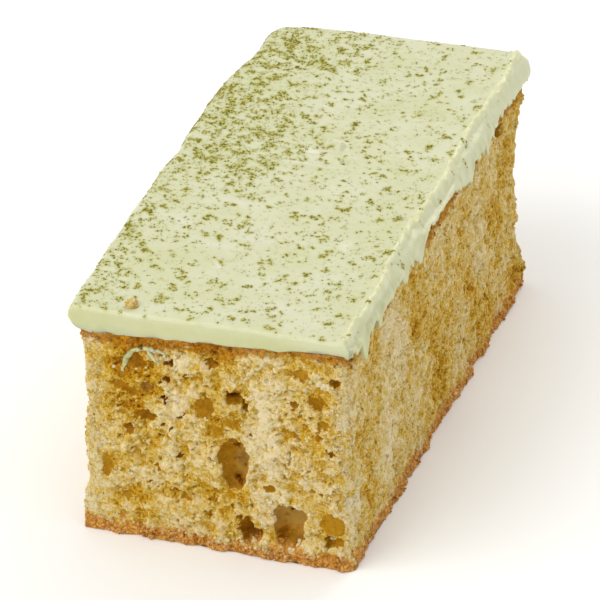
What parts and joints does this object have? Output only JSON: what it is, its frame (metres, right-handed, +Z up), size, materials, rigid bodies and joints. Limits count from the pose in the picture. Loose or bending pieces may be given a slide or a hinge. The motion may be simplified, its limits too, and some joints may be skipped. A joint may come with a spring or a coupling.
{
  "type": "iced green tea cake bar",
  "caption": "Rectangular bar of golden sponge cake with torn, open-pored cut sides, under a slab of pale green icing dusted with clumped tea powder.",
  "frame": {"origin": "centre of the bounding box, on the flat baked foot that the cake rests on", "axes": "+Y along the bar, from the shown cut end (at -Y) to the far end; +X towards the side that the knife dragged the icing over; +Z up through the icing"},
  "size_m": [0.0534, 0.112, 0.0481],
  "materials": {
    "sponge": "dry, rough golden crumb with open pores",
    "icing": "smooth set icing with a soft sheen, dusted with green tea powder"
  },
  "bodies": {
    "root": {"sponge": "sponge", "icing": "icing"}
  },
  "joints": []
}
